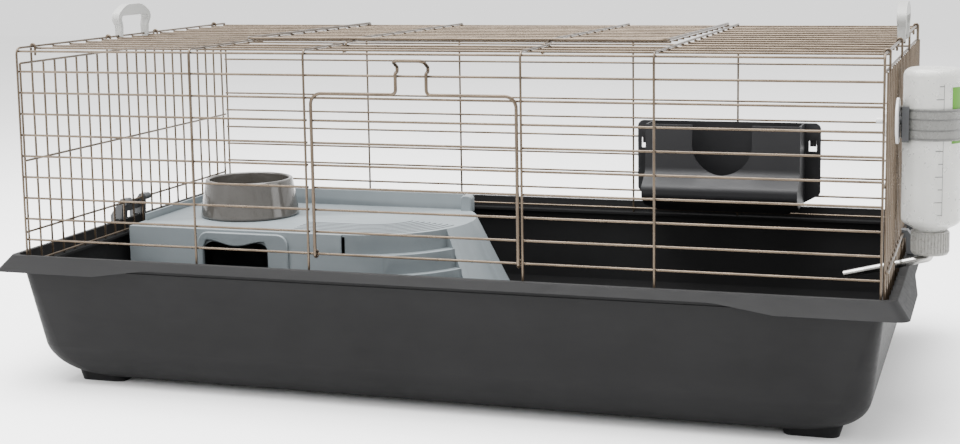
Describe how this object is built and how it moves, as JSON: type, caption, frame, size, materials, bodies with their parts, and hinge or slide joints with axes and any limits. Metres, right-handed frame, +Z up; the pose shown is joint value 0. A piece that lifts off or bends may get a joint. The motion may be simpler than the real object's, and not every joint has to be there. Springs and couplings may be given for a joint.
{
  "type": "wire rabbit cage",
  "caption": "Low wire cage on a deep plastic tray, with a drop-down front door, a hinged roof lid, folding handles, a hideaway house, a hay rack, a bowl and an outside water bottle.",
  "frame": {"origin": "middle of the overall footprint, on the ground under the tray's feet", "axes": "+Z up, front door faces -Y, +X along the cage towards the water bottle"},
  "size_m": [1.0484, 0.562, 0.4265],
  "materials": {
    "wire_paint": "bronze paint, semi gloss",
    "tray_plastic": "fine satin grain",
    "handle_plastic": "satin",
    "clip_plastic": "satin",
    "house_plastic": "satin",
    "bowl_glaze": "gloss",
    "rack_plastic": "satin",
    "bottle_plastic": "translucent, smooth",
    "cap_plastic": "smooth, ribbed",
    "seal_rubber": "matte",
    "steel": "polished",
    "strap_plastic": "translucent grey",
    "clamp_plastic": "satin"
  },
  "bodies": {
    "tray": {"tray": "tray_plastic"},
    "wire_top": {"front_panel_long_wires": "wire_paint", "front_panel_cross_wires": "wire_paint", "roof_long_wires": "wire_paint", "back_panel_long_wires": "wire_paint", "back_panel_cross_wires": "wire_paint", "left_end_uprights": "wire_paint", "right_end_uprights": "wire_paint", "left_end_rails": "wire_paint", "right_end_rails": "wire_paint", "left_end_hooks": "wire_paint", "right_end_hooks": "wire_paint", "bottle_cap": "cap_plastic", "cap_seal": "seal_rubber", "drip_tube": "steel", "bottle_strap": "strap_plastic", "bottle_bracket": "clip_plastic", "clamp_disc": "clamp_plastic", "clamp_screw": "clamp_plastic"},
    "front_door": {"front_door_frame": "wire_paint", "front_door_bars": "wire_paint"},
    "roof_lid": {"roof_lid_frame": "wire_paint", "roof_lid_cross_wires": "wire_paint", "roof_lid_bars": "wire_paint", "roof_lid_latches": "wire_paint"},
    "left_handle": {"left_handle": "handle_plastic"},
    "right_handle": {"right_handle": "handle_plastic"},
    "left_clip": {"left_tray_clip": "clip_plastic"},
    "right_clip": {"right_tray_clip": "clip_plastic"},
    "house": {"hideaway_house": "house_plastic"},
    "bowl": {"food_bowl": "bowl_glaze"},
    "hay_rack": {"hay_rack": "rack_plastic", "hay_rack_hooks": "rack_plastic"},
    "bottle": {"bottle": "bottle_plastic"},
    "valve_ball": {"valve_ball": "steel"},
    "clamp_nut": {"clamp_nut": "clamp_plastic"}
  },
  "joints": [
    {"name": "wire_top_lift", "type": "slide", "parent": "tray", "child": "wire_top", "axis": [0, 0, 1], "range_m": [0, 0.12]},
    {"name": "front_door_hinge", "type": "hinge", "parent": "wire_top", "child": "front_door", "pos_m": [-0.02025, -0.252, 0.169], "axis": [1, 0, 0], "range_deg": [0, 115]},
    {"name": "roof_lid_hinge", "type": "hinge", "parent": "wire_top", "child": "roof_lid", "pos_m": [-0.02025, 0.252, 0.385], "axis": [-1, 0, 0], "range_deg": [0, 235]},
    {"name": "left_handle_swing", "type": "hinge", "parent": "wire_top", "child": "left_handle", "pos_m": [-0.49525, 0, 0.3875], "axis": [0, -1, 0], "range_deg": [-65, 135]},
    {"name": "right_handle_swing", "type": "hinge", "parent": "wire_top", "child": "right_handle", "pos_m": [0.45475, 0, 0.3875], "axis": [0, 1, 0], "range_deg": [-65, 135]},
    {"name": "left_clip_swing", "type": "hinge", "parent": "wire_top", "child": "left_clip", "pos_m": [-0.50041, 0, 0.176], "axis": [0, 1, 0], "range_deg": [0, 100]},
    {"name": "right_clip_swing", "type": "hinge", "parent": "wire_top", "child": "right_clip", "pos_m": [0.45991, 0, 0.176], "axis": [0, -1, 0], "range_deg": [0, 100]},
    {"name": "house_lift", "type": "slide", "parent": "tray", "child": "house", "axis": [0, 0, 1], "range_m": [0, 0.1]},
    {"name": "bowl_lift", "type": "slide", "parent": "house", "child": "bowl", "axis": [0, 0, 1], "range_m": [0, 0.07]},
    {"name": "hay_rack_lift", "type": "slide", "parent": "wire_top", "child": "hay_rack", "axis": [0, 0, 1], "range_m": [0, 0.012]},
    {"name": "bottle_unscrew", "type": "hinge", "parent": "wire_top", "child": "bottle", "pos_m": [0.49295, -0.122, 0.2], "axis": [0, 0, 1], "range_deg": [0, 450]},
    {"name": "valve_ball_push", "type": "slide", "parent": "wire_top", "child": "valve_ball", "axis": [0.9692, 0, 0.2462], "range_m": [0, 0.0015]},
    {"name": "clamp_nut_turn", "type": "hinge", "parent": "wire_top", "child": "clamp_nut", "pos_m": [0.44975, -0.14, 0.312], "axis": [1, 0, 0], "continuous": true}
  ]
}
